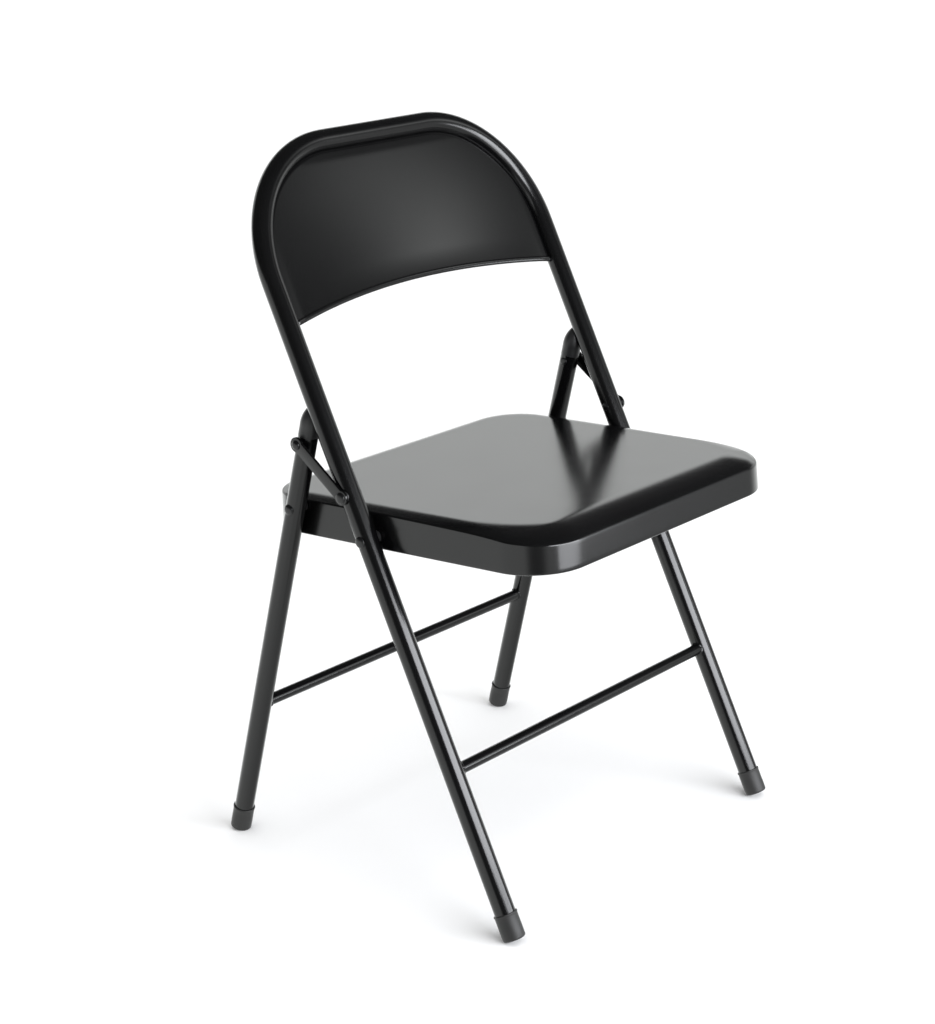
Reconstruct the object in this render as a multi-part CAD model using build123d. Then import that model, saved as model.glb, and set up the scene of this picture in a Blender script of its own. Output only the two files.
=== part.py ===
from build123d import *
import os
from math import cos, radians, sin, sqrt, tan

# Steel folding chair, open.  Millimetres, +Z up, the sitter faces -Y.
# The origin is on the floor, under the middle of the chair's bounding box.
# "left" is the sitter's left (+X) and "right" the sitter's right (-X).

# ---------------------------------------------------------------- driving dimensions
SIDES = {"left": 1, "right": -1}

# front frame: one tube bent to an inverted U, which is both the front legs and the back
TUBE_R = 11.1
TUBE_WALL = 1.2
FRAME_WIDTH = 430.5          # between the two leg axes
FRAME_TOP_Z = 747.4          # height of the tube's axis at the top
FRAME_TILT = 27.2            # degrees back from the vertical
FRAME_BEND_R = 137.0         # at the tube's axis, in the plane of the frame
FRONT_Y = -189.9             # where the front legs' axes reach the floor
CROSSBAR_R = 6.4
CROSSBAR_WALL = 1.0
FRONT_BAR_Z = 160.4

# rear legs
REAR_R = 10.5
REAR_WALL = 1.2
REAR_TILT = 13.65            # degrees forward from the vertical
REAR_Y = 202.5               # where the rear legs' axes reach the floor
REAR_FOOT_WIDTH = 439.8      # between the two axes at the floor
REAR_SPLAY = 0.74            # degrees that each leg leans in towards its top
REAR_BAR_Z = 158.6
REAR_TUBE_TOP_Z = 474.0
REAR_CAP_TOP_Z = 506.0

# heights of the four pivots on each side
SEAT_PIVOT_Z = 380.5         # seat to front frame
LEG_PIVOT_Z = 392.1          # seat to rear leg
LINK_FRONT_Z = 423.4         # link to front frame
LINK_REAR_Z = 466.7          # link to rear leg

# seat pan: pressed sheet with a skirt all round
SEAT_SKIRT_Z = 381.0         # lower edge of the skirt, straight above the front feet
SEAT_TILT = 4.06             # degrees down towards the rear
SEAT_FRONT = -22.9           # front edge, from the front feet's line, along the seat
SEAT_REAR = 360.6
SEAT_FRONT_WIDTH = 398.4
SEAT_REAR_WIDTH = 406.8
SEAT_HEIGHT = 40.8
SEAT_FRONT_CORNER_R = 58.0
SEAT_REAR_CORNER_R = 52.0
SEAT_EDGE_R = 4.0
SEAT_WATERFALL_R = 68.6     # the top's curve down to the front edge
SEAT_WATERFALL_START = 12.1  # where that curve begins, along the seat
SHEET = 1.2

# back panel
PANEL_LOW_U = 657.0          # its lower corners, up the slope of the frame
PANEL_ARCH = 21.0            # rise of its lower edge between the corners
PANEL_RIM_DEPTH = 2.5        # behind the plane of the tube's axis
PANEL_DISH = 20.0            # further depth at the middle of the lower edge
PANEL_SHEET = 1.4
PANEL_GRID = 13

# links, rivets and spacers
LINK_THICK = 3.0
LINK_WIDTH = 12.5
LINK_END_R = 8.6
LINK_GAP = 0.9               # between the front tube and the link
RIVET_R = 3.0
HEAD_R = 6.0
HEAD_H = 2.8
TAIL_R = 4.4
TAIL_H = 1.0
SPACER_R = 6.5
RUNNING = 0.05               # radial clearance of a rivet in what turns on it
FACE_GAP = 0.3               # between faces that slide past each other
HINGE_PLATE = 2.5
HINGE_PLATE_END = 16.0       # plate reach past the pivots

# foot tips and leg caps
TIP_WALL = 0.9
TIP_LENGTH = 27.5
TIP_BASE = 6.0
TIP_RIM_R = 0.5              # how far the rim stands out
TIP_RIM_H = 2.5
TIP_EDGE_R = 1.6
FRONT_TIP_Z = 3.4            # height of the middle of the tip's end face
REAR_TIP_Z = 1.7
CAP_PLUG = 18.0
CAP_GAP = 0.4                # between the leg cap and the front tube


# ---------------------------------------------------------------- places
def front_point(u, side=0):
    """A point on a front leg's axis, u up the slope from the floor."""
    a = radians(FRAME_TILT)
    return Vector(side * FRAME_WIDTH / 2, FRONT_Y + u * sin(a), u * cos(a))


def front_at_z(z, side=0):
    return front_point(z / cos(radians(FRAME_TILT)), side)


def rear_at_z(z, side):
    """A point on a rear leg's axis."""
    x = REAR_FOOT_WIDTH / 2 - z * tan(radians(REAR_SPLAY))
    return Vector(side * x, REAR_Y - z * tan(radians(REAR_TILT)), z)


def frame_plane():
    """X across, Y up the slope of the front frame, Z out of its front."""
    a = radians(FRAME_TILT)
    return Plane(origin=(0, FRONT_Y, 0), x_dir=(1, 0, 0), z_dir=(0, -cos(a), sin(a)))


def seat_plane():
    """X across, Y along the seat to the rear, Z out of its top."""
    a = radians(SEAT_TILT)
    return Plane(origin=(0, FRONT_Y, SEAT_SKIRT_Z), x_dir=(1, 0, 0), z_dir=(0, sin(a), cos(a)))


def seat_half_width(y):
    """Half the seat's width at a place along the row frame's Y."""
    part = (y - FRONT_Y - SEAT_FRONT) / (SEAT_REAR - SEAT_FRONT)
    return (SEAT_FRONT_WIDTH + (SEAT_REAR_WIDTH - SEAT_FRONT_WIDTH) * part) / 2


# ---------------------------------------------------------------- basic solids
def rod(start, end, radius):
    """A cylinder from one point to another."""
    reach = end - start
    return extrude(Plane(origin=start, z_dir=reach) * Circle(radius), reach.length)


def tube_between(start, end):
    """A crossbar's tube."""
    return rod(start, end, CROSSBAR_R) - rod(start, end, CROSSBAR_R - CROSSBAR_WALL)


def cross_rod(side, low, high, at, radius):
    """A cylinder along X, between two distances from the middle plane."""
    return rod(Vector(side * low, at.Y, at.Z), Vector(side * high, at.Y, at.Z), radius)


def domed_head(side, seat, at, radius, height):
    """A rivet head that stands out from the distance called seat."""
    disc = cross_rod(side, seat, seat + height, at, radius)
    outer = disc.edges().sort_by(Axis.X)[-1 if side > 0 else 0]
    return fillet(outer, height * 0.75)


def front_loop(radius):
    """A solid bar along the whole front tube."""
    top = FRAME_TOP_Z / cos(radians(FRAME_TILT))
    start = (FRONT_TIP_Z + TIP_BASE) / cos(radians(FRAME_TILT))
    half = FRAME_WIDTH / 2
    corners = [(-half, start), (-half, top), (half, top), (half, start)]
    path = frame_plane() * FilletPolyline(*corners, radius=FRAME_BEND_R)
    section = Plane(origin=path @ 0, z_dir=path % 0) * Circle(radius)
    return sweep(section, path=path)


def rear_bar(side, radius, low_z, high_z):
    return rod(rear_at_z(low_z, side), rear_at_z(high_z, side), radius)


# ---------------------------------------------------------------- front frame
def front_frame_tube():
    tube = front_loop(TUBE_R) - front_loop(TUBE_R - TUBE_WALL)
    for side in SIDES.values():
        for z in (SEAT_PIVOT_Z, LINK_FRONT_Z):
            at = front_at_z(z, side)
            half = FRAME_WIDTH / 2
            tube -= cross_rod(side, half - 2 * TUBE_R, half + 2 * TUBE_R, at, RIVET_R)
    return tube


def front_crossbar():
    return tube_between(front_at_z(FRONT_BAR_Z, -1), front_at_z(FRONT_BAR_Z, 1)) - front_loop(TUBE_R)


def panel_depth(x, u):
    """How far behind the plane of the tube's axis the panel lies."""
    half = FRAME_WIDTH / 2
    top = FRAME_TOP_Z / cos(radians(FRAME_TILT))
    across = 1 - (x / half) ** 2
    up = 1 - ((u - PANEL_LOW_U) / (top - PANEL_LOW_U)) ** 2
    return PANEL_RIM_DEPTH + PANEL_DISH * across * up


def back_panel():
    half = FRAME_WIDTH / 2
    top = FRAME_TOP_Z / cos(radians(FRAME_TILT))
    low = PANEL_LOW_U - TUBE_R
    steps = [i / (PANEL_GRID - 1) for i in range(PANEL_GRID)]
    grid = []
    for s in steps:
        x = half * (2 * s - 1)
        rows = [low + (top - low) * t for t in steps]
        grid.append([Vector(x, u, -panel_depth(x, u)) for u in rows])
    sheet = thicken(Face.make_surface_from_array_of_points(grid), PANEL_SHEET / 2, both=True)

    left_low = (-half, PANEL_LOW_U)
    right_low = (half, PANEL_LOW_U)
    arch = ThreePointArc(left_low, (0, PANEL_LOW_U + PANEL_ARCH), right_low)
    border = FilletPolyline(left_low, (-half, top), (half, top), right_low, radius=FRAME_BEND_R)
    outline = extrude(make_face([*arch.edges(), *border.edges()]), 4 * PANEL_DISH, both=True)
    panel = frame_plane().location * (sheet & outline)
    return panel - front_loop(TUBE_R)


def seat_pivot_rivets():
    solids = []
    for side in SIDES.values():
        at = front_at_z(SEAT_PIVOT_Z, side)
        inner = seat_half_width(at.Y) - SHEET - HINGE_PLATE - FACE_GAP
        outer = FRAME_WIDTH / 2 + TUBE_R
        rivet = cross_rod(side, inner - TAIL_H, outer + 1, at, RIVET_R)
        rivet += cross_rod(side, inner - TAIL_H, inner, at, TAIL_R)
        rivet += domed_head(side, outer - 1, at, HEAD_R, HEAD_H + 1) - front_loop(TUBE_R)
        solids.append(rivet)
    return solids


def seat_pivot_spacers():
    solids = []
    for side in SIDES.values():
        at = front_at_z(SEAT_PIVOT_Z, side)
        inner = seat_half_width(at.Y) + FACE_GAP
        ring = cross_rod(side, inner, FRAME_WIDTH / 2 - TUBE_R + 3, at, SPACER_R)
        ring -= front_loop(TUBE_R)
        solids.append(ring - cross_rod(side, inner - 1, FRAME_WIDTH / 2, at, RIVET_R))
    return solids


def link_face():
    """Distance of the links' inner faces from the middle plane."""
    return FRAME_WIDTH / 2 + TUBE_R + LINK_GAP


def link_pivot_rivets():
    solids = []
    for side in SIDES.values():
        at = front_at_z(LINK_FRONT_Z, side)
        inner = FRAME_WIDTH / 2 - TUBE_R
        outer = link_face() + LINK_THICK + 0.1
        rivet = cross_rod(side, inner - TAIL_H, outer, at, RIVET_R)
        tail = cross_rod(side, inner - TAIL_H, inner + 2, at, TAIL_R)
        rivet += tail - front_loop(TUBE_R)
        rivet += domed_head(side, outer, at, HEAD_R, HEAD_H)
        solids.append(rivet)
    return solids


def link_pivot_washers():
    solids = []
    for side in SIDES.values():
        at = front_at_z(LINK_FRONT_Z, side)
        outer = link_face() - FACE_GAP / 2
        ring = cross_rod(side, FRAME_WIDTH / 2 + TUBE_R - 3, outer, at, SPACER_R)
        ring -= front_loop(TUBE_R)
        solids.append(ring - cross_rod(side, FRAME_WIDTH / 2, outer + 1, at, RIVET_R))
    return solids


# ---------------------------------------------------------------- foot tips
def foot_tip(end, up, tube_r):
    """A cup over a leg's end, trimmed flat where it meets the floor."""
    way = up.normalized()
    cup = rod(end, end + way * TIP_LENGTH, tube_r + TIP_WALL)
    cup = fillet(cup.faces().sort_by(Axis.Z)[0].edges(), TIP_EDGE_R)
    rim_low = end + way * (TIP_LENGTH - TIP_RIM_H)
    cup += rod(rim_low, end + way * TIP_LENGTH, tube_r + TIP_WALL + TIP_RIM_R)
    cup -= rod(end + way * TIP_BASE, end + way * (TIP_LENGTH + 1), tube_r)
    floor = Pos(end.X, end.Y, -50) * Box(100, 100, 100)
    return cup - floor


def front_foot_tip(side):
    end = front_at_z(FRONT_TIP_Z, side)
    return foot_tip(end, front_at_z(500, side) - end, TUBE_R)


def rear_foot_tip(side):
    end = rear_at_z(REAR_TIP_Z, side)
    return foot_tip(end, rear_at_z(500, side) - end, REAR_R)


# ---------------------------------------------------------------- seat
def rim_edges(block):
    """The edges all round the top, without the line where the waterfall begins."""
    tops = [face for face in block.faces() if face.normal_at().Z > 0.5]
    edges = [edge for face in tops for edge in face.edges()]
    return [edge for edge in edges if edges.count(edge) == 1]


def waterfall_block(inset):
    """Everything under the seat's top surface, which curves down at the front."""
    radius = SEAT_WATERFALL_R - inset
    top = SEAT_HEIGHT - inset
    start, rear, front = SEAT_WATERFALL_START, 2 * SEAT_REAR, SEAT_FRONT - SEAT_EDGE_R
    drop = radius - sqrt(radius ** 2 - (start - front) ** 2)
    mid = (start + front) / 2
    mid_drop = radius - sqrt(radius ** 2 - (start - mid) ** 2)
    curve = ThreePointArc((front, top - drop), (mid, top - mid_drop), (start, top))
    sides = Polyline((start, top), (rear, top), (rear, -1), (front, -1), (front, top - drop))
    profile = make_face([*curve.edges(), *sides.edges()])
    return extrude(Plane.YZ * profile, SEAT_REAR_WIDTH, both=True)


def seat_block(inset):
    """The seat's outer form, or that form made smaller all round."""
    front, rear = SEAT_FRONT + inset, SEAT_REAR - inset
    front_half, rear_half = SEAT_FRONT_WIDTH / 2 - inset, SEAT_REAR_WIDTH / 2 - inset
    height = SEAT_HEIGHT - inset
    corners = [(-front_half, front), (front_half, front), (rear_half, rear), (-rear_half, rear)]
    outline = make_face(Polyline(*corners, close=True))
    outline = fillet(outline.vertices().sort_by(Axis.Y)[:2], SEAT_FRONT_CORNER_R - inset)
    outline = fillet(outline.vertices().sort_by(Axis.Y)[-2:], SEAT_REAR_CORNER_R - inset)
    block = extrude(outline, height) & waterfall_block(inset)
    return fillet(rim_edges(block), SEAT_EDGE_R - inset)


def seat_pan():
    pan = seat_plane().location * (seat_block(0) - seat_block(SHEET))
    for side in SIDES.values():
        for at in (front_at_z(SEAT_PIVOT_Z, side), rear_at_z(LEG_PIVOT_Z, side)):
            pan -= cross_rod(side, FRAME_WIDTH / 4, FRAME_WIDTH / 2, at, RIVET_R + RUNNING)
    return pan


def seat_hinge_plate(side):
    """The strip inside the skirt that carries both of the seat's pivots on one side."""
    front_at = front_at_z(SEAT_PIVOT_Z, side)
    rear_at = rear_at_z(LEG_PIVOT_Z, side)
    low = front_at.Y - FRONT_Y - HINGE_PLATE_END
    high = rear_at.Y - FRONT_Y + HINGE_PLATE_END
    wall = seat_block(SHEET) - seat_block(SHEET + HINGE_PLATE)
    top = SEAT_HEIGHT - SEAT_EDGE_R
    window = Pos(side * FRAME_WIDTH / 2, (low + high) / 2, top / 2)
    window = window * Box(FRAME_WIDTH / 2, high - low, top - 2)
    plate = seat_plane().location * (wall & window)
    for at in (front_at, rear_at):
        plate -= cross_rod(side, FRAME_WIDTH / 4, FRAME_WIDTH / 2, at, RIVET_R + RUNNING)
    return plate


# ---------------------------------------------------------------- rear frame
def rear_leg(side):
    low_z = REAR_TIP_Z + TIP_BASE
    leg = rear_bar(side, REAR_R, low_z, REAR_TUBE_TOP_Z)
    leg -= rear_bar(side, REAR_R - REAR_WALL, low_z - 20, REAR_TUBE_TOP_Z + 20)
    at = rear_at_z(LEG_PIVOT_Z, side)
    leg -= cross_rod(side, FRAME_WIDTH / 4, FRAME_WIDTH, at, RIVET_R)
    return leg


def rear_crossbar():
    bar = tube_between(rear_at_z(REAR_BAR_Z, -1), rear_at_z(REAR_BAR_Z, 1))
    for side in SIDES.values():
        bar -= rear_bar(side, REAR_R, 0, 2 * REAR_BAR_Z)
    return bar


def rear_leg_cap(side):
    """A bullet-shaped plug, hollowed in front where it bears on the front tube."""
    base = rear_at_z(REAR_TUBE_TOP_Z, side)
    tip = rear_at_z(REAR_CAP_TOP_Z, side)
    rise = (tip - base).length
    crown_r = REAR_R * 0.35
    axis_line = [(0, -CAP_PLUG), (REAR_R - REAR_WALL, -CAP_PLUG), (REAR_R - REAR_WALL, 0)]
    edge = Polyline(*axis_line, (REAR_R, 0), (REAR_R, rise * 0.3))
    flank = ThreePointArc((REAR_R, rise * 0.3), (REAR_R * 0.87, rise * 0.68), (crown_r, rise))
    close = Polyline((crown_r, rise), (0, rise), (0, -CAP_PLUG))
    half = make_face([*edge.edges(), *flank.edges(), *close.edges()])
    cap = revolve(Plane.XZ * half, Axis.Z)
    cap = Plane(origin=base, z_dir=tip - base).location * cap
    return cap - rod(front_at_z(400, side), front_at_z(560, side), TUBE_R + CAP_GAP)


def leg_pivot_rivets():
    solids = []
    for side in SIDES.values():
        at = rear_at_z(LEG_PIVOT_Z, side)
        inner = seat_half_width(at.Y) - SHEET - HINGE_PLATE - FACE_GAP
        outer = abs(at.X) + REAR_R
        rivet = cross_rod(side, inner - TAIL_H, outer + 1, at, RIVET_R)
        rivet += cross_rod(side, inner - TAIL_H, inner, at, TAIL_R)
        head = domed_head(side, outer - 1, at, HEAD_R, HEAD_H + 1)
        rivet += head - rear_bar(side, REAR_R, 0, REAR_TUBE_TOP_Z)
        solids.append(rivet)
    return solids


def leg_pivot_spacers():
    solids = []
    for side in SIDES.values():
        at = rear_at_z(LEG_PIVOT_Z, side)
        inner = seat_half_width(at.Y) + FACE_GAP
        ring = cross_rod(side, inner, abs(at.X) - REAR_R + 3, at, SPACER_R - 1)
        ring -= rear_bar(side, REAR_R, 0, REAR_TUBE_TOP_Z)
        solids.append(ring - cross_rod(side, inner - 1, abs(at.X), at, RIVET_R))
    return solids


def link_rivet_tails():
    """The closed ends of the upper link rivets, inside the rear legs."""
    solids = []
    for side in SIDES.values():
        at = rear_at_z(LINK_REAR_Z, side)
        inner = abs(at.X) - REAR_R
        tail = cross_rod(side, inner - TAIL_H, inner + 2, at, TAIL_R)
        solids.append(tail - rear_bar(side, REAR_R, 0, REAR_TUBE_TOP_Z))
    return solids


# ---------------------------------------------------------------- links
def link(side):
    low = front_at_z(LINK_FRONT_Z, side)
    high = rear_at_z(LINK_REAR_Z, side)
    face = link_face()
    strap = cross_rod(side, face, face + LINK_THICK, low, LINK_END_R)
    strap += cross_rod(side, face, face + LINK_THICK, high, LINK_END_R)
    reach = Vector(0, high.Y - low.Y, high.Z - low.Z)
    middle = Vector(side * (face + LINK_THICK / 2), (low.Y + high.Y) / 2, (low.Z + high.Z) / 2)
    bar = Plane(origin=middle, x_dir=(1, 0, 0), z_dir=reach)
    strap += bar.location * Box(LINK_THICK, LINK_WIDTH, reach.length)
    strap -= cross_rod(side, face - 1, face + LINK_THICK + 1, low, RIVET_R + RUNNING)
    return strap - cross_rod(side, face - 1, face + LINK_THICK + 1, high, RIVET_R)


def link_rivet(side):
    """The upper rivet, which stops short of the rear leg."""
    at = rear_at_z(LINK_REAR_Z, side)
    face = link_face()
    outer = face + LINK_THICK
    inner = abs(at.X) + REAR_R + FACE_GAP
    rivet = cross_rod(side, inner, outer, at, RIVET_R)
    rivet += cross_rod(side, inner, face, at, TAIL_R)
    return rivet + domed_head(side, outer, at, HEAD_R, HEAD_H)


# ---------------------------------------------------------------- output
def save(name, solids):
    shape = Compound(children=list(solids)) if isinstance(solids, list) else solids
    export_step(shape, "parts/" + name + ".step")


os.makedirs("parts", exist_ok=True)

save("front_frame_tube", front_frame_tube())
save("front_crossbar", front_crossbar())
save("back_panel", back_panel())
save("seat_pivot_rivets", seat_pivot_rivets())
save("seat_pivot_spacers", seat_pivot_spacers())
save("link_pivot_rivets", link_pivot_rivets())
save("link_pivot_washers", link_pivot_washers())
save("seat_pan", seat_pan())
save("rear_crossbar", rear_crossbar())
save("leg_pivot_rivets", leg_pivot_rivets())
save("leg_pivot_spacers", leg_pivot_spacers())
save("link_rivet_tails", link_rivet_tails())
for name, side in SIDES.items():
    save("front_foot_tip_" + name, front_foot_tip(side))
    save("seat_hinge_plate_" + name, seat_hinge_plate(side))
    save("rear_leg_" + name, rear_leg(side))
    save("rear_leg_cap_" + name, rear_leg_cap(side))
    save("rear_foot_tip_" + name, rear_foot_tip(side))
    save("link_" + name, link(side))
    save("link_rivet_" + name, link_rivet(side))
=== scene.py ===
"""Looks of the steel folding chair: smooth tubes, a pressed seat, a dished back panel, links,
rivets, caps and rubber tips, all in satin black.  Metres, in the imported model's frame."""
from math import atan2, cos, degrees, exp, pi, radians, sin, sqrt, tan

import bmesh
import bpy
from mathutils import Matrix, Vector


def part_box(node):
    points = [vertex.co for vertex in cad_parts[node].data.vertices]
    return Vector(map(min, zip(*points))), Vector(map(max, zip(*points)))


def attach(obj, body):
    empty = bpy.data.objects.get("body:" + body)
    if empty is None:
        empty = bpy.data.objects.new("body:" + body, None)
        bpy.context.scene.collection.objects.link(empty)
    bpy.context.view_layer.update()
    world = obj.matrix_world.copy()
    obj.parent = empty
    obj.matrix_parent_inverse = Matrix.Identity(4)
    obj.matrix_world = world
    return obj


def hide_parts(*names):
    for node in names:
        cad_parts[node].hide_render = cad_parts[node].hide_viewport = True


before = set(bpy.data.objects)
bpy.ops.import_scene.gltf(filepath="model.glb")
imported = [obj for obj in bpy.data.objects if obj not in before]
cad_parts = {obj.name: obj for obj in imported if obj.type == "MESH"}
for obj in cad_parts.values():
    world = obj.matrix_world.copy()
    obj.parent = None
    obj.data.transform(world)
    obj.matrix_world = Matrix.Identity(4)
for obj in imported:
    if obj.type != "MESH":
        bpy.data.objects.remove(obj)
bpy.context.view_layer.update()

MM = 0.001

# ------------------------------------------------------------------ sizes, as in the CAD model
TUBE_R = 11.1 * MM
FRAME_TILT = radians(27.2)
FRAME_BEND_R = 137.0 * MM
REAR_R = 10.5 * MM
REAR_TILT = radians(13.65)
REAR_SPLAY = radians(0.74)
CROSSBAR_R = 6.4 * MM
FRONT_BAR_Z = 160.4 * MM
REAR_BAR_Z = 158.6 * MM
SEAT_PIVOT_Z = 380.5 * MM
LEG_PIVOT_Z = 392.1 * MM
LINK_FRONT_Z = 423.4 * MM
LINK_REAR_Z = 466.7 * MM
SEAT_TILT = radians(4.06)
SEAT_SKIRT_Z = 381.0 * MM
SEAT_FRONT = -22.9 * MM
SEAT_REAR = 360.6 * MM
SEAT_HALF_FRONT = 199.2 * MM
SEAT_HALF_REAR = 203.4 * MM
SEAT_FRONT_CORNER_R = 58.0 * MM
SEAT_REAR_CORNER_R = 52.0 * MM
PANEL_LOW_U = 657.0 * MM
PANEL_ARCH = 21.0 * MM
FRONT_Y = -189.9 * MM
REAR_Y = 202.5 * MM
REAR_FOOT_HALF = 219.9 * MM
REAR_TUBE_TOP_Z = 474.0 * MM
SHEET = 1.2 * MM               # the seat's steel
PANEL_SHEET = 1.4 * MM
LINK_WIDTH = 12.5 * MM
LINK_THICK = 3.0 * MM
LINK_GAP = 0.9 * MM            # between the front tube and the link
FACE_GAP = 0.3 * MM            # between the upper link rivet and the rear leg
SHANK_R = 3.0 * MM
HEAD_R = 6.0 * MM
HEAD_TALL = 2.8 * MM
TAIL_R = 4.4 * MM              # a rivet's closed inner end
TAIL_TALL = 1.0 * MM
TIP_WALL = 0.9 * MM
TIP_LENGTH = 27.5 * MM
FRONT_TIP_Z = 3.4 * MM         # height of the middle of the tip's end face
REAR_TIP_Z = 1.7 * MM

# the front tube's place comes from its packed box
tube_low, tube_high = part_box("front_frame_tube")
FRAME_HALF = tube_high.x - TUBE_R
FRAME_TOP_U = (tube_high.z - TUBE_R) / cos(FRAME_TILT)

SIDES = {"left": 1, "right": -1}

# sizes of the looks, where the CAD model is plainer or differs
SEAT_HEIGHT = 41.0 * MM        # 40.8 in the CAD model
SEAT_CREASE_R = 2.4 * MM       # where the top turns into the skirt
SEAT_DRAFT = 1.0 * MM          # how far the skirt leans in over its height
HEM_R = 2.0 * MM
LINK_END_R = 8.0 * MM          # 8.6 in the CAD model
LINK_BEVEL = 0.6 * MM
WELD_R = 1.5 * MM
UPPER_HEAD_R = 5.0 * MM        # of the links' upper rivets
COLLAR_R = 4.4 * MM            # of those rivets, between the head and the rear leg
HEAD_SINK = 0.6 * MM           # how far a head goes into the side of a tube
HEAD_CLEAR = 0.05 * MM         # between a lower link rivet's head and its link
SEAT_RIVET_END = 194.5 * MM    # inner ends, out from the middle of the chair
LEG_RIVET_END = 196.0 * MM
TUBE_START = 8.0 * MM          # the legs' tubes start here, inside their tips
TIP_ROUND = 2.2 * MM
TIP_LIP_R = 0.5 * MM
TIP_LIP_HALF = 1.0 * MM


# ------------------------------------------------------------------ places
def front_point(u, side=0.0, depth=0.0):
    """u up the slope of the front frame, depth behind its plane."""
    return Vector((
        side * FRAME_HALF,
        FRONT_Y + u * sin(FRAME_TILT) + depth * cos(FRAME_TILT),
        u * cos(FRAME_TILT) - depth * sin(FRAME_TILT),
    ))


def front_at_z(z, side):
    return front_point(z / cos(FRAME_TILT), side)


def rear_at_z(z, side):
    return Vector((
        side * (REAR_FOOT_HALF - z * tan(REAR_SPLAY)),
        REAR_Y - z * tan(REAR_TILT),
        z,
    ))


def rear_axis(side):
    return rear_at_z(1, side) - rear_at_z(0, side)


# ------------------------------------------------------------------ mesh helpers
def make_piece(name, verts, faces, material, body, nodes, sharp=radians(40)):
    mesh = bpy.data.meshes.new(name)
    mesh.from_pydata([tuple(v) for v in verts], [], faces)
    bm = bmesh.new()
    bm.from_mesh(mesh)
    bmesh.ops.remove_doubles(bm, verts=bm.verts, dist=1e-6)
    bmesh.ops.recalc_face_normals(bm, faces=bm.faces)
    bm.to_mesh(mesh)
    bm.free()
    for polygon in mesh.polygons:
        polygon.use_smooth = True
    mesh.set_sharp_from_angle(angle=sharp)
    piece = bpy.data.objects.new(name, mesh)
    bpy.context.scene.collection.objects.link(piece)
    piece.data.materials.append(material)
    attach(piece, body)
    if nodes:
        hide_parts(*nodes)
    return piece


def bridge_rings(rings, close_around=True):
    """Quads between successive rings of equal length."""
    count = len(rings[0])
    verts = [p for ring in rings for p in ring]
    faces = []
    last = count if close_around else count - 1
    for r in range(len(rings) - 1):
        for i in range(last):
            j = (i + 1) % count
            faces.append((r * count + i, r * count + j, (r + 1) * count + j, (r + 1) * count + i))
    return verts, faces


def ring_around(centre, across, up, radius, sides):
    return [centre + across * (radius * cos(2 * pi * i / sides))
            + up * (radius * sin(2 * pi * i / sides)) for i in range(sides)]


def tube_along(points, radius, normal, sides=56):
    """A closed bar along points that lie in the plane square to normal."""
    rings = []
    for i, point in enumerate(points):
        before = points[max(i - 1, 0)]
        after = points[min(i + 1, len(points) - 1)]
        way = (after - before).normalized()
        across = way.cross(normal).normalized()
        rings.append(ring_around(point, across, normal, radius, sides))
    verts, faces = bridge_rings(rings)
    faces.append(tuple(range(sides)))
    faces.append(tuple(range(len(verts) - sides, len(verts))))
    return verts, faces


def straight(start, end, steps):
    return [start.lerp(end, i / steps) for i in range(steps + 1)]


def lathe(profile, origin, axis, sides=48):
    """A profile of (radius, height) pairs turned about an axis; zero radii close it."""
    axis = axis.normalized()
    across = axis.orthogonal().normalized()
    up = axis.cross(across)
    rings = [ring_around(origin + axis * h, across, up, max(r, 1e-7), sides) for r, h in profile]
    return bridge_rings(rings)


def join_parts(parts):
    verts, faces = [], []
    for part_verts, part_faces in parts:
        shift = len(verts)
        verts += list(part_verts)
        faces += [tuple(i + shift for i in face) for face in part_faces]
    return verts, faces


def arc_profile(radius, height, start, end, steps, centre=(0.0, 0.0)):
    """Points of an elliptical arc, angles in degrees from the radius axis."""
    out = []
    for i in range(steps + 1):
        a = radians(start + (end - start) * i / steps)
        out.append((centre[0] + radius * cos(a), centre[1] + height * sin(a)))
    return out


# ------------------------------------------------------------------ materials
def node_material(name):
    material = bpy.data.materials.new(name)
    material.use_nodes = True
    tree = material.node_tree
    shader = tree.nodes["Principled BSDF"]
    place = tree.nodes.new("ShaderNodeTexCoord")
    return material, tree, shader, place


def noise(tree, place, scale, detail):
    texture = tree.nodes.new("ShaderNodeTexNoise")
    texture.inputs["Scale"].default_value = scale
    texture.inputs["Detail"].default_value = detail
    texture.inputs["Roughness"].default_value = 0.55
    tree.links.new(place.outputs["Object"], texture.inputs["Vector"])
    return texture


def ramp(tree, source, low, high):
    """Maps a texture to a range between two grey levels or colours."""
    node = tree.nodes.new("ShaderNodeValToRGB")
    node.color_ramp.elements[0].position = 0.2
    node.color_ramp.elements[1].position = 0.8
    node.color_ramp.elements[0].color = low
    node.color_ramp.elements[1].color = high
    tree.links.new(source.outputs["Fac"], node.inputs["Fac"])
    return node


def grey(value):
    return (value, value, value, 1.0)


def coated_black(name, dark, light, rough_low, rough_high, peel_scale, peel):
    """Black finish: faint tone drift, uneven gloss and a fine surface texture."""
    material, tree, shader, place = node_material(name)
    tone = ramp(tree, noise(tree, place, 9.0, 4.0), dark, light)
    tree.links.new(tone.outputs["Color"], shader.inputs["Base Color"])
    gloss = ramp(tree, noise(tree, place, 14.0, 3.0), grey(rough_low), grey(rough_high))
    tree.links.new(gloss.outputs["Color"], shader.inputs["Roughness"])
    bump = tree.nodes.new("ShaderNodeBump")
    bump.inputs["Strength"].default_value = peel
    bump.inputs["Distance"].default_value = 0.0002
    texture = noise(tree, place, peel_scale, 2.0)
    tree.links.new(texture.outputs["Fac"], bump.inputs["Height"])
    tree.links.new(bump.outputs["Normal"], shader.inputs["Normal"])
    shader.inputs["IOR"].default_value = 1.5
    return material


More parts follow.
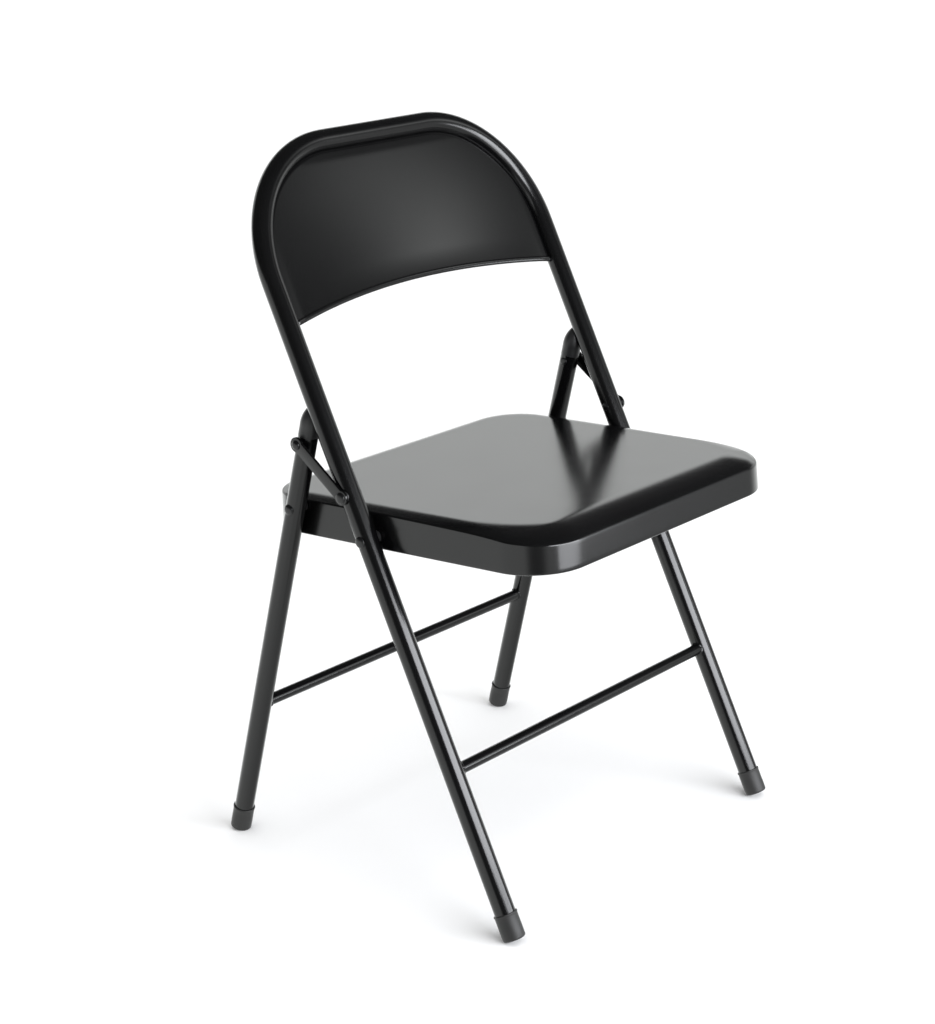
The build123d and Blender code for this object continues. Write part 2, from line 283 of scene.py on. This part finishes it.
PAINT = coated_black(
    "satin_black_paint", (0.0016, 0.0016, 0.0018, 1), (0.0026, 0.0026, 0.0028, 1),
    rough_low=0.175, rough_high=0.195, peel_scale=900.0, peel=0.035)
RIVET = coated_black(
    "black_rivet_steel", (0.0025, 0.0025, 0.003, 1), (0.0045, 0.0045, 0.005, 1),
    rough_low=0.22, rough_high=0.34, peel_scale=1500.0, peel=0.15)
PLASTIC = coated_black(
    "black_moulded_plastic", (0.010, 0.010, 0.0105, 1), (0.015, 0.015, 0.0155, 1),
    rough_low=0.36, rough_high=0.46, peel_scale=2200.0, peel=0.30)
RUBBER = coated_black(
    "black_rubber", (0.010, 0.010, 0.010, 1), (0.018, 0.0175, 0.017, 1),
    rough_low=0.45, rough_high=0.60, peel_scale=1600.0, peel=0.45)


# ------------------------------------------------------------------ front frame
def loop_points(u_start, arc_steps=40):
    """The front tube's axis, from the right foot over the top to the left foot."""
    bend_u = FRAME_TOP_U - FRAME_BEND_R
    bend_x = FRAME_HALF - FRAME_BEND_R
    points = straight(front_point(u_start, -1), front_point(bend_u, -1), 24)
    for sign, start, end in ((-1, 180, 90), (1, 90, 0)):
        for i in range(arc_steps + 1):
            a = radians(start + (end - start) * i / arc_steps)
            p = front_point(bend_u + FRAME_BEND_R * sin(a))
            points.append(Vector((sign * bend_x + FRAME_BEND_R * cos(a), p.y, p.z)))
    points += straight(front_point(bend_u, 1), front_point(u_start, 1), 24)
    kept = [points[0]]
    for p in points[1:]:
        if (p - kept[-1]).length > 1e-5:
            kept.append(p)
    return kept


def front_frame_tube():
    normal = Vector((0, cos(FRAME_TILT), -sin(FRAME_TILT)))
    verts, faces = tube_along(loop_points(TUBE_START), TUBE_R, normal)
    make_piece("front_tube", verts, faces, PAINT, "front_frame", ["front_frame_tube"])


def weld_bead(end, way, bar_r, leg_axis, leg_r, seed):
    """An uneven bead where a crossbar meets a leg; way points from the leg to the bar."""
    up = leg_axis.normalized()
    across = way.cross(up).normalized()
    sides, steps = 10, 40
    rings = []
    for i in range(steps):
        a = 2 * pi * i / steps
        off = across * cos(a) + up * sin(a)
        reach = bar_r * cos(a)
        drop = leg_r - sqrt(leg_r ** 2 - reach ** 2)
        centre = end + off * bar_r + way * (leg_r - drop)
        bead = WELD_R * (1 + 0.18 * sin(5 * a + seed) + 0.12 * sin(11 * a + 2 * seed))
        rings.append(ring_around(centre, off, way, bead, sides))
    rings.append(rings[0])
    return bridge_rings(rings)


def crossbar(name, node, body, low, high, leg_r, leg_way, seed):
    way = (high - low).normalized()
    inner = [low + way * (leg_r * 0.6), high - way * (leg_r * 0.6)]
    parts = [tube_along(straight(inner[0], inner[1], 12), CROSSBAR_R, Vector((0, 0, 1)), 40)]
    parts.append(weld_bead(low, way, CROSSBAR_R, leg_way(-1), leg_r, seed))
    parts.append(weld_bead(high, -way, CROSSBAR_R, leg_way(1), leg_r, seed + 1.7))
    verts, faces = join_parts(parts)
    make_piece(name, verts, faces, PAINT, body, [node])


# ------------------------------------------------------------------ back panel
RIM_IN = 2.5 * MM              # how far the sheet's edge reaches into the tube
RIM_WIDTH = 12.0 * MM          # flat band beside the tube
RIM_DEPTH = -0.5 * MM          # behind the plane of the tube's axis
DISH = 18.5 * MM
LIP_TALL = 3.0 * MM            # half the height of the folded lower edge
LIP_DEEP = 1.3 * MM
LIP_TILT = radians(8.6)        # from upright
LIP_DROP = 0.9 * MM            # the lip's middle below the sheet's edge
LIP_FORWARD = 0.6 * MM
MARGIN = 25.7 * MM             # the sheet flattens again above the lip
MARGIN_RISE = 0.085            # by this part of the dish's depth
DISH_ACROSS = 1.2              # powers of the dish's curve, across and down the panel
DISH_DOWN = 1.06
TUCK = 2.0 * MM                # how far the sheet's edge bends back inside the tube
TUCK_WIDTH = 6.0 * MM


def smooth_step(t):
    t = min(max(t, 0.0), 1.0)
    return t * t * (3 - 2 * t)


def inside_distance(x, u):
    """Distance in from the tube's inner side."""
    bend_x, bend_u = FRAME_HALF - FRAME_BEND_R, FRAME_TOP_U - FRAME_BEND_R
    dx, du = abs(x) - bend_x, u - bend_u
    inner = FRAME_BEND_R - TUBE_R
    if dx > 0 and du > 0:
        return inner - sqrt(dx * dx + du * du)
    return inner - max(dx, du)


def panel_depth(x, u):
    """Flat beside the tube, swept back more and more towards the middle of the lower edge."""
    half = FRAME_HALF - TUBE_R - RIM_WIDTH
    top = FRAME_TOP_U - TUBE_R - RIM_WIDTH
    across = max(1 - (x / half) ** 2, 0.0) ** DISH_ACROSS
    down = min(max((top - u) / (top - PANEL_LOW_U), 0.0), 1.2)
    edge = PANEL_LOW_U + PANEL_ARCH * (1 - (x / half) ** 2)
    margin = max(0.0, 1 - (u - edge) / MARGIN) ** 2
    tuck = TUCK * smooth_step(1 - (inside_distance(x, u) + RIM_IN) / TUCK_WIDTH)
    return RIM_DEPTH + DISH * across * (down ** DISH_DOWN - MARGIN_RISE * margin) + tuck


def panel_border(inset):
    """The four sides of the panel's outline as functions of 0..1."""
    half = FRAME_HALF - TUBE_R + inset
    radius = FRAME_BEND_R - TUBE_R + inset
    bend_x, bend_u = FRAME_HALF - FRAME_BEND_R, FRAME_TOP_U - FRAME_BEND_R
    quarter = radius * pi / 4

    def arch(t):
        x = half * (2 * t - 1)
        return x, PANEL_LOW_U + PANEL_ARCH * (1 - (x / half) ** 2)

    def flank(t, sign):
        run = bend_u - PANEL_LOW_U
        s = t * (run + quarter)
        if s < run:
            return sign * half, PANEL_LOW_U + s
        a = (s - run) / radius
        return sign * (bend_x + radius * cos(a)), bend_u + radius * sin(a)

    def crown(t):
        s = (2 * t - 1) * (bend_x + quarter)
        if abs(s) < bend_x:
            return s, bend_u + radius
        a = pi / 2 - (abs(s) - bend_x) / radius
        x = bend_x + radius * cos(a)
        return (x if s > 0 else -x), bend_u + radius * sin(a)

    return arch, crown, lambda t: flank(t, -1), lambda t: flank(t, 1)


def graded(i, steps):
    """0..1 with closer spacing at both ends."""
    t = i / steps
    return t - 0.11 * sin(2 * pi * t) - 0.02 * sin(4 * pi * t)


def back_panel():
    columns, rows = 120, 72
    low, high, left, right = panel_border(RIM_IN)
    c00, c10, c01, c11 = low(0), low(1), high(0), high(1)
    sheets = []
    for offset in (0.0, PANEL_SHEET):
        grid = []
        for j in range(rows + 1):
            v = graded(j, rows)
            line = []
            for i in range(columns + 1):
                s = graded(i, columns)
                xu = []
                for k in (0, 1):
                    ruled = ((1 - v) * low(s)[k] + v * high(s)[k]
                             + (1 - s) * left(v)[k] + s * right(v)[k])
                    corner = ((1 - s) * (1 - v) * c00[k] + s * (1 - v) * c10[k]
                              + (1 - s) * v * c01[k] + s * v * c11[k])
                    xu.append(ruled - corner)
                p = front_point(xu[1], 0, panel_depth(*xu) + offset)
                line.append(Vector((xu[0], p.y, p.z)))
            grid.append(line)
        sheets.append(grid)
    front_sheet = bridge_rings(sheets[0], False)
    rear_sheet = bridge_rings(sheets[1], False)
    edge_low = bridge_rings([sheets[0][0], sheets[1][0]], False)
    normal_in = Vector((0, cos(FRAME_TILT), -sin(FRAME_TILT)))
    up_slope = Vector((0, sin(FRAME_TILT), cos(FRAME_TILT)))
    hem = [point - normal_in * LIP_FORWARD - up_slope * LIP_DROP for point in sheets[0][0]]
    hem_rings = []
    face_up = Vector((0, sin(LIP_TILT), cos(LIP_TILT)))
    for i, point in enumerate(hem):
        way = (hem[min(i + 1, len(hem) - 1)] - hem[max(i - 1, 0)]).normalized()
        across = way.cross(face_up).normalized()
        hem_rings.append(ring_around(point, across * (LIP_DEEP / LIP_TALL), face_up, LIP_TALL, 24))
    verts, faces = join_parts([front_sheet, rear_sheet, edge_low, bridge_rings(hem_rings)])
    make_piece("back_panel_sheet", verts, faces, PAINT, "front_frame", ["back_panel"])


# ------------------------------------------------------------------ seat
def seat_to_row(x, y, z):
    """From the seat's own frame: y along it to the rear, z out of its top."""
    return Vector((x, FRONT_Y + y * cos(SEAT_TILT) + z * sin(SEAT_TILT),
                   SEAT_SKIRT_Z - y * sin(SEAT_TILT) + z * cos(SEAT_TILT)))


def seat_half(y):
    """Half the seat's width at a place along it."""
    at = (y - SEAT_FRONT) / (SEAT_REAR - SEAT_FRONT)
    return SEAT_HALF_FRONT + (SEAT_HALF_REAR - SEAT_HALF_FRONT) * at


def seat_outline():
    """Points (x, y) and outward normals, anticlockwise from the front left corner."""
    taper = atan2(SEAT_HALF_REAR - SEAT_HALF_FRONT, SEAT_REAR - SEAT_FRONT)
    turn = degrees(taper)
    arcs = []
    for sign_x, y, radius, start, end in (
            (1, SEAT_FRONT, SEAT_FRONT_CORNER_R, -90, -turn),
            (1, SEAT_REAR, SEAT_REAR_CORNER_R, -turn, 90),
            (-1, SEAT_REAR, SEAT_REAR_CORNER_R, 90, 180 + turn),
            (-1, SEAT_FRONT, SEAT_FRONT_CORNER_R, 180 + turn, 270)):
        cy = y + radius if y == SEAT_FRONT else y - radius
        cx = sign_x * (seat_half(cy) - radius / cos(taper))
        arc = []
        for i in range(25):
            a = radians(start + (end - start) * i / 24)
            arc.append((cx + radius * cos(a), cy + radius * sin(a), cos(a), sin(a)))
        arcs.append(arc)
    line = []
    for k, arc in enumerate(arcs):
        line += arc
        follow = arcs[(k + 1) % 4][0]
        for i in range(1, 32):
            t = i / 32
            line.append(tuple(arc[-1][n] + (follow[n] - arc[-1][n]) * t for n in range(4)))
    return line


def fade(distance, width):
    """1 at the edge, 0 with no slope from width on."""
    return max(0.0, 1 - distance / width) ** 2


FRONT_ROLL = 37.0 * MM         # length of the curve down to the front edge
FRONT_DROP = 10.0 * MM
CORNER_DROP = 12.0 * MM        # how far the top falls away at the front corners
CORNER_FADE = 58.0 * MM        # that drop dies out over about this length, to the rear
CORNER_FROM = -4.0 * MM
SIDE_ROLL = 18.5 * MM          # width of the curve down to the sides, well back
SIDE_SPREAD = 31.0 * MM        # it is wider by this at SPREAD_AT, more to the front
SPREAD_AT = 18.7 * MM
SPREAD_FADE = 34.0 * MM
SPREAD_LIMIT = 5.0 * MM        # no wider than at this place along the seat
EDGE_DROP = 1.2 * MM           # a last small drop just inside the crease
EDGE_WIDTH = 6.0 * MM
REAR_EDGE_DROP = 1.4 * MM      # more of it, and wider by REAR_EDGE_WIDTH, in the rear
REAR_EDGE_WIDTH = 10.0 * MM
REAR_FROM = 10.0 * MM          # where the rear starts, and over what length
REAR_RUN = 110.0 * MM


def edge_drop(x, y, inset):
    """How far the seat's top lies below its crown, inset in from the outline."""
    front = FRONT_DROP * fade(max(y - SEAT_FRONT, 0), FRONT_ROLL)
    width = SIDE_ROLL + SIDE_SPREAD * exp(-(max(y, SPREAD_LIMIT) - SPREAD_AT) / SPREAD_FADE)
    corner = CORNER_DROP * exp(-max(y - CORNER_FROM, 0) / CORNER_FADE)
    shoulder = corner * fade(seat_half(y) - abs(x), width)
    rearward = smooth_step((y - REAR_FROM) / REAR_RUN)
    rim_width = EDGE_WIDTH + REAR_EDGE_WIDTH * rearward
    rim = (EDGE_DROP + REAR_EDGE_DROP * rearward) * fade(inset, rim_width)
    return front + shoulder + rim


def seat_ring(outline, inset, height_of):
    """A ring at an inset from the outline; height_of takes a place on the ring."""
    ring = []
    for x, y, nx, ny in outline:
        px, py = x - nx * inset, y - ny * inset
        ring.append(seat_to_row(px, py, height_of(px, py)))
    return ring


# how far towards the middle each ring of the top lies, closest together at the edge
TOP_STEPS = (0.0, 0.005, 0.01, 0.017, 0.025, 0.035, 0.046, 0.06, 0.075, 0.09, 0.11, 0.13,
             0.15, 0.175, 0.2, 0.225, 0.25, 0.28, 0.31, 0.34, 0.37, 0.4, 0.45, 0.52, 0.6, 0.7,
             0.8, 0.9, 0.97, 0.996)


def seat_shell(outline, sink, wall, low):
    """Rings from the skirt's foot to the middle of the top, sunk by sink and set in by wall."""
    crease = SEAT_CREASE_R - sink / 2
    rings = []

    def shoulder(x, y):
        return SEAT_HEIGHT - sink - edge_drop(x, y, 0.0) - crease

    for t in (0.0, 0.15, 0.3, 0.45, 0.6, 0.75, 0.9, 1.0):
        rings.append(seat_ring(outline, wall + SEAT_DRAFT * t,
                               lambda x, y, t=t: low + (shoulder(x, y) - low) * t))
    for k in range(1, 8):
        a = pi / 2 * k / 8
        rings.append(seat_ring(outline, wall + SEAT_DRAFT + crease * (1 - cos(a)),
                               lambda x, y, a=a: shoulder(x, y) + crease * sin(a)))
    rim_inset = wall + SEAT_DRAFT + crease
    rim = [(x - nx * rim_inset, y - ny * rim_inset) for x, y, nx, ny in outline]
    mid_y = (SEAT_FRONT + SEAT_REAR) / 2
    for t in TOP_STEPS:
        ring = []
        for x, y in rim:
            px, py = x * (1 - t), y + (mid_y - y) * t
            away = t * min(SEAT_HALF_FRONT, mid_y - SEAT_FRONT)
            ring.append(seat_to_row(px, py, SEAT_HEIGHT - sink - edge_drop(px, py, away)))
        rings.append(ring)
    verts, faces = bridge_rings(rings)
    count = len(outline)
    faces.append(tuple(range(len(verts) - count, len(verts))))
    return verts, faces


def seat_hem(outline):
    """The skirt's lower edge, rolled inwards."""
    rings = []
    for k in range(17):
        a = 1.5 * pi * k / 16
        rings.append(seat_ring(outline, HEM_R - HEM_R * cos(a),
                               lambda x, y, a=a: HEM_R - HEM_R * sin(a)))
    return bridge_rings(rings)


def seat_pan():
    outline = seat_outline()
    parts = [seat_shell(outline, 0.0, 0.0, HEM_R), seat_shell(outline, SHEET, SHEET, HEM_R),
             seat_hem(outline)]
    verts, faces = join_parts(parts)
    make_piece("seat_pressing", verts, faces, PAINT, "seat", ["seat_pan"])


# ------------------------------------------------------------------ rear frame
def rear_leg(name, side):
    low, high = rear_at_z(TUBE_START, side), rear_at_z(REAR_TUBE_TOP_Z, side)
    verts, faces = tube_along(straight(low, high, 30), REAR_R, Vector((1, 0, 0)))
    make_piece("rear_tube_" + name, verts, faces, PAINT, "rear_frame", ["rear_leg_" + name])


# ------------------------------------------------------------------ rivets, links, tips
def rivet_head(at, way, radius=HEAD_R, height=HEAD_TALL):
    """A low dome with a small shoulder."""
    profile = [(radius, 0.0), (radius, height * 0.18)]
    profile += arc_profile(radius * 0.98, height * 0.8, 0, 90, 10, (0.0, height * 0.2))
    return lathe([(0.0, 0.0)] + profile, at, way, 36)


def link_outline(length):
    """(along, off) points round the strap: a straight bar with a wider round end at each pivot."""
    half = LINK_WIDTH / 2
    neck = degrees(atan2(half, sqrt(LINK_END_R ** 2 - half ** 2)))
    outline = []
    for end, begin in ((0, neck), (length, 180 + neck)):
        for i in range(29):
            a = radians(begin + (360 - 2 * neck) * i / 28)
            outline.append((end + LINK_END_R * cos(a), LINK_END_R * sin(a)))
    return outline


def link(name, side):
    """A flat strap from the front tube to the rear leg, with bevelled edges."""
    face = (FRAME_HALF + TUBE_R + LINK_GAP) * side
    low, high = front_at_z(LINK_FRONT_Z, side), rear_at_z(LINK_REAR_Z, side)
    way = Vector((0, high.y - low.y, high.z - low.z))
    length = way.length
    way.normalize()
    across = Vector((0, -way.z, way.y))
    outline = link_outline(length)

    def level(inset, lift):
        ring = []
        for along, off in outline:
            centre = min(max(along, 0), length)
            scale = 1 - inset / LINK_END_R
            a = centre + (along - centre) * scale
            point = Vector((0, low.y, low.z)) + way * a + across * (off * scale)
            ring.append(Vector((face + side * lift, point.y, point.z)))
        return ring

    bevel = LINK_BEVEL
    rings = [level(bevel, 0), level(0.25 * bevel, 0.25 * bevel), level(0, bevel),
             level(0, LINK_THICK - bevel), level(0.25 * bevel, LINK_THICK - 0.25 * bevel),
             level(bevel, LINK_THICK)]
    verts, faces = bridge_rings(rings)
    count = len(outline)
    faces.append(tuple(range(count)))
    faces.append(tuple(range(len(verts) - count, len(verts))))
    make_piece("link_strap_" + name, verts, faces, PAINT, name + "_link", ["link_" + name])


def foot_tip(name, node, body, end, way, radius):
    """A moulded cup with a rolled rim, trimmed flat on the floor."""
    way = way.normalized()
    outer = radius + TIP_WALL
    profile = [(0.0, 0.0), (outer - TIP_ROUND, 0.0)]
    profile += arc_profile(TIP_ROUND, TIP_ROUND, -90, 0, 6, (outer - TIP_ROUND, TIP_ROUND))
    profile += [(outer + 0.1 * MM, 8 * MM), (outer, TIP_LENGTH * 0.6),
                (outer, TIP_LENGTH - 2.4 * MM)]
    profile += arc_profile(TIP_LIP_R, TIP_LIP_HALF, -80, 80, 8, (outer, TIP_LENGTH - 1.1 * MM))
    profile += [(outer - 0.4 * MM, TIP_LENGTH), (radius - 0.2 * MM, TIP_LENGTH)]
    verts, faces = lathe(profile, end, way, 56)
    piece = make_piece(name, verts, faces, RUBBER, body, [node], radians(50))
    bm = bmesh.new()
    bm.from_mesh(piece.data)
    geometry = bm.verts[:] + bm.edges[:] + bm.faces[:]
    cut = bmesh.ops.bisect_plane(bm, geom=geometry, plane_co=(0, 0, 0), plane_no=(0, 0, 1),
                                 clear_inner=True)
    edges = [g for g in cut["geom_cut"] if isinstance(g, bmesh.types.BMEdge)]
    bmesh.ops.holes_fill(bm, edges=edges)
    bm.to_mesh(piece.data)
    bm.free()


def rivet_pair(name, body, node, pivot, tube_r, lift, tail_x):
    """A rivet a side: a head that stands lift off its tube, a shank and a closed inner end."""
    parts = []
    for side in SIDES.values():
        at = pivot(side)
        way = Vector((side, 0, 0))
        head = Vector((side * (abs(at.x) + tube_r + lift), at.y, at.z))
        tail = Vector((side * tail_x, at.y, at.z))
        parts.append(rivet_head(head, way))
        parts.append(lathe([(SHANK_R, 0), (SHANK_R, (head - tail).length)], tail, way, 24))
        parts.append(rivet_head(tail, -way, TAIL_R, TAIL_TALL))
    verts, faces = join_parts(parts)
    make_piece(name, verts, faces, RIVET, body, [node])


def rivets():
    """The heads and closed ends of all but the upper link rivets."""
    rivet_pair("seat_rivet_heads", "front_frame", "seat_pivot_rivets",
               lambda side: front_at_z(SEAT_PIVOT_Z, side), TUBE_R, -HEAD_SINK, SEAT_RIVET_END)
    rivet_pair("link_rivet_heads", "front_frame", "link_pivot_rivets",
               lambda side: front_at_z(LINK_FRONT_Z, side), TUBE_R,
               LINK_GAP + LINK_THICK + HEAD_CLEAR, FRAME_HALF - TUBE_R)
    rivet_pair("leg_rivet_heads", "rear_frame", "leg_pivot_rivets",
               lambda side: rear_at_z(LEG_PIVOT_Z, side), REAR_R, -HEAD_SINK, LEG_RIVET_END)


def upper_link_rivets():
    """Heads and collars ride on the links, closed ends on the rear legs."""
    face = FRAME_HALF + TUBE_R + LINK_GAP + LINK_THICK
    for name, side in SIDES.items():
        at = rear_at_z(LINK_REAR_Z, side)
        way = Vector((side, 0, 0))
        head = Vector((side * face, at.y, at.z))
        inner = Vector((side * (abs(at.x) + REAR_R + FACE_GAP), at.y, at.z))
        reach = (head - inner).length
        collar = lathe([(0, 0), (COLLAR_R, 0), (COLLAR_R, reach)], inner, way, 28)
        verts, faces = join_parts([rivet_head(head, way, UPPER_HEAD_R), collar])
        make_piece("link_rivet_head_" + name, verts, faces, RIVET, name + "_link",
                   ["link_rivet_" + name])
    parts = []
    for side in SIDES.values():
        at = rear_at_z(LINK_REAR_Z, side)
        inward = Vector((-side, 0, 0))
        tail = Vector((side * (abs(at.x) - REAR_R), at.y, at.z))
        parts.append(rivet_head(tail, inward, TAIL_R, TAIL_TALL))
        parts.append(lathe([(TAIL_R, -TAIL_TALL), (TAIL_R, 0.0)], tail, inward, 36))
    verts, faces = join_parts(parts)
    make_piece("link_rivet_ends", verts, faces, RIVET, "rear_frame", ["link_rivet_tails"])


# ------------------------------------------------------------------ build the chair
front_frame_tube()
front_axis = front_point(1) - front_point(0)
crossbar("front_bar", "front_crossbar", "front_frame", front_at_z(FRONT_BAR_Z, -1),
         front_at_z(FRONT_BAR_Z, 1), TUBE_R, lambda side: front_axis, 0.4)
crossbar("rear_bar", "rear_crossbar", "rear_frame", rear_at_z(REAR_BAR_Z, -1),
         rear_at_z(REAR_BAR_Z, 1), REAR_R, rear_axis, 2.1)
back_panel()
seat_pan()
rivets()
upper_link_rivets()
for name, side in SIDES.items():
    rear_leg(name, side)
    link(name, side)
    foot_tip("front_tip_" + name, "front_foot_tip_" + name, "front_frame",
             front_at_z(FRONT_TIP_Z, side), front_axis, TUBE_R)
    foot_tip("rear_tip_" + name, "rear_foot_tip_" + name, "rear_frame",
             rear_at_z(REAR_TIP_Z, side), rear_axis(side), REAR_R)

# CAD nodes that show as they are, with a finish of their own
KEPT = {
    "seat_hinge_plate_left": PAINT,
    "seat_hinge_plate_right": PAINT,
    "rear_leg_cap_left": PLASTIC,
    "rear_leg_cap_right": PLASTIC,
    "seat_pivot_spacers": PLASTIC,
    "leg_pivot_spacers": PLASTIC,
    "link_pivot_washers": PLASTIC,
}
for node, material in KEPT.items():
    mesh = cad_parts[node].data
    mesh.materials.clear()
    mesh.materials.append(material)


# ------------------------------------------------------------------ stage, light and camera
def math_node(tree, operation, first, second, number=0.0):
    """first and second are sockets; with no second, number takes its place."""
    node = tree.nodes.new("ShaderNodeMath")
    node.operation = operation
    tree.links.new(first, node.inputs[0])
    if second is None:
        node.inputs[1].default_value = number
    else:
        tree.links.new(second, node.inputs[1])
    return node.outputs["Value"]


def level_ramp(tree, value, stops, signed=False):
    """Straight steps between (position, level) stops; a signed value is first put in 0..1."""
    if signed:
        value = math_node(tree, "MULTIPLY", value, None, 0.5)
        value = math_node(tree, "ADD", value, None, 0.5)
    top = max(level for position, level in stops)
    node = tree.nodes.new("ShaderNodeValToRGB")
    elements = node.color_ramp.elements
    while len(elements) < len(stops):
        elements.new(0.5)
    for element, (position, level) in zip(elements, stops):
        element.position = position
        element.color = grey(level / top)
    tree.links.new(value, node.inputs["Fac"])
    return math_node(tree, "MULTIPLY", node.outputs["Color"], None, top)


def toward(tree, place, azimuth, elevation):
    """1 in one direction, falling to -1 in the opposite one."""
    a, e = radians(azimuth), radians(elevation)
    node = tree.nodes.new("ShaderNodeVectorMath")
    node.operation = "DOT_PRODUCT"
    node.inputs[1].default_value = (cos(a) * cos(e), sin(a) * cos(e), sin(e))
    tree.links.new(place.outputs["Generated"], node.inputs[0])
    return node.outputs["Value"]


# the floor is greyer where the softboxes light it most, so that it shows shadows all over
FLOOR_HALF = 14.0
LIGHTS_Y = -1.4
FLOOR_CENTRE = (0.14, LIGHTS_Y, 0.0)
FLOOR_REACH = 6.0
FLOOR_TONES = ((0.0, 0.86), (0.05, 0.60), (0.10, 0.53), (0.125, 0.53), (0.187, 0.65),
               (0.228, 0.76), (0.27, 0.80), (0.35, 0.83), (0.5, 0.84), (0.83, 0.86))


def stage_floor():
    mesh = bpy.data.meshes.new("studio_floor")
    corners = [(x * FLOOR_HALF, y * FLOOR_HALF, 0) for x, y in ((-1, -1), (1, -1), (1, 1), (-1, 1))]
    mesh.from_pydata(corners, [], [(0, 1, 2, 3)])
    floor = bpy.data.objects.new("studio_floor", mesh)
    bpy.context.scene.collection.objects.link(floor)
    material, tree, shader, place = node_material("studio_white")
    away = tree.nodes.new("ShaderNodeVectorMath")
    away.operation = "DISTANCE"
    away.inputs[1].default_value = FLOOR_CENTRE
    tree.links.new(place.outputs["Object"], away.inputs[0])
    part = math_node(tree, "MULTIPLY", away.outputs["Value"], None, 1 / FLOOR_REACH)
    split = tree.nodes.new("ShaderNodeSeparateXYZ")
    tree.links.new(place.outputs["Object"], split.inputs[0])
    unlit = math_node(tree, "LESS_THAN", split.outputs["Y"], None, LIGHTS_Y)
    part = math_node(tree, "ADD", part, unlit)
    tone = level_ramp(tree, part, FLOOR_TONES)
    tree.links.new(tone, shader.inputs["Base Color"])
    shader.inputs["Roughness"].default_value = 0.9
    shader.inputs["Specular IOR Level"].default_value = 0.1
    mesh.materials.append(material)
    floor.visible_glossy = False


def studio_world():
    """A bright backdrop low down behind the chair, and a dark room above and around it."""
    world = bpy.data.worlds.new("studio")
    bpy.context.scene.world = world
    world.use_nodes = True
    tree = world.node_tree
    room = tree.nodes["Background"]
    place = tree.nodes.new("ShaderNodeTexCoord")
    split = tree.nodes.new("ShaderNodeSeparateXYZ")
    tree.links.new(place.outputs["Generated"], split.inputs[0])
    height = split.outputs["Z"]

    behind = level_ramp(tree, toward(tree, place, 41, 0), ((0.40, 0.0), (0.70, 1.0)))
    low = level_ramp(tree, height, (
        (0.0, 0.95), (0.19, 1.0), (0.208, 1.2), (0.225, 1.55), (0.242, 1.75), (0.31, 1.75),
        (0.36, 0.0)))
    backdrop = math_node(tree, "MULTIPLY", behind, low)
    glow = level_ramp(tree, toward(tree, place, 312.9, 15.3), (
        (0.9272, 0.05), (0.9563, 0.14), (0.9781, 0.33), (0.9877, 0.63), (0.9925, 0.91),
        (0.9962, 1.52), (0.9976, 2.1), (0.9994, 2.7)))
    haze = level_ramp(tree, toward(tree, place, 255, 30), ((0.60, 0.02), (0.95, 0.05)))

    # light from below the horizon, as off a white floor, dimmer in two directions
    ground = level_ramp(tree, height, ((0.49, 1.0), (0.50, 0.0)), signed=True)
    side = level_ramp(tree, toward(tree, place, 155, 0), ((0.08, 0.5), (0.5, 0.9), (0.85, 1.2)),
                      signed=True)
    shade = level_ramp(tree, toward(tree, place, 219, -14), ((0.925, 1.0), (0.985, 0.15)))
    dimmed = math_node(tree, "MULTIPLY", side, shade)
    floor_light = math_node(tree, "MULTIPLY", ground, dimmed)

    total = math_node(tree, "ADD", backdrop, glow)
    total = math_node(tree, "ADD", total, haze)
    total = math_node(tree, "ADD", total, floor_light)
    tree.links.new(total, room.inputs["Strength"])
    room.inputs["Color"].default_value = (0.98, 1.0, 0.99, 1.0)


def softbox(name, x, z, width, height, watts):
    """An upright light in front of the chair that the camera doesn't see."""
    data = bpy.data.lights.new(name, "AREA")
    data.shape = "RECTANGLE"
    data.size = width
    data.size_y = height
    data.energy = watts
    data.color = (0.94, 0.96, 1.0)
    item = bpy.data.objects.new(name, data)
    item.location = (x, LIGHTS_Y, z)
    way = Vector((x, 0.0, z - 0.02)) - item.location
    item.rotation_euler = way.to_track_quat("-Z", "Y").to_euler()
    item.visible_camera = False
    bpy.context.scene.collection.objects.link(item)


def room_fill():
    """Even light on the floor that leaves no mirror image in the paint."""
    data = bpy.data.lights.new("room_fill", "SUN")
    data.energy = 3.6
    data.angle = radians(120)
    item = bpy.data.objects.new("room_fill", data)
    item.rotation_euler = (radians(8), 0, 0)
    item.visible_glossy = False
    bpy.context.scene.collection.objects.link(item)


stage_floor()
studio_world()
room_fill()
softbox("key_softbox", x=0.05, z=0.73, width=1.6, height=0.54, watts=32)
softbox("low_softbox", x=0.43, z=0.28, width=1.55, height=0.34, watts=11)

# the camera's place and lens were solved from the photo's outline
CAMERA_PLACE = (-1.7101, -1.4283, 1.1152)
CAMERA_AZIMUTH = radians(-49.616)
CAMERA_ELEVATION = radians(16.468)
CAMERA_LENS = 76.78            # mm, on a sensor 36 mm wide
CAMERA_SHIFT = (-0.0227, -0.0881)

scene = bpy.context.scene
scene.view_settings.view_transform = "Standard"

camera_data = bpy.data.cameras.new("camera")
camera_data.sensor_width = 36.0
camera_data.lens = CAMERA_LENS
camera_data.shift_x, camera_data.shift_y = CAMERA_SHIFT
camera_data.clip_start = 0.05
camera_data.clip_end = 100
camera = bpy.data.objects.new("camera", camera_data)
scene.collection.objects.link(camera)
camera.location = CAMERA_PLACE
back = Vector((
    sin(CAMERA_AZIMUTH) * cos(CAMERA_ELEVATION),
    -cos(CAMERA_AZIMUTH) * cos(CAMERA_ELEVATION),
    sin(CAMERA_ELEVATION),
))
camera.rotation_mode = "QUATERNION"
camera.rotation_quaternion = (-back).to_track_quat("-Z", "Y")
scene.camera = camera
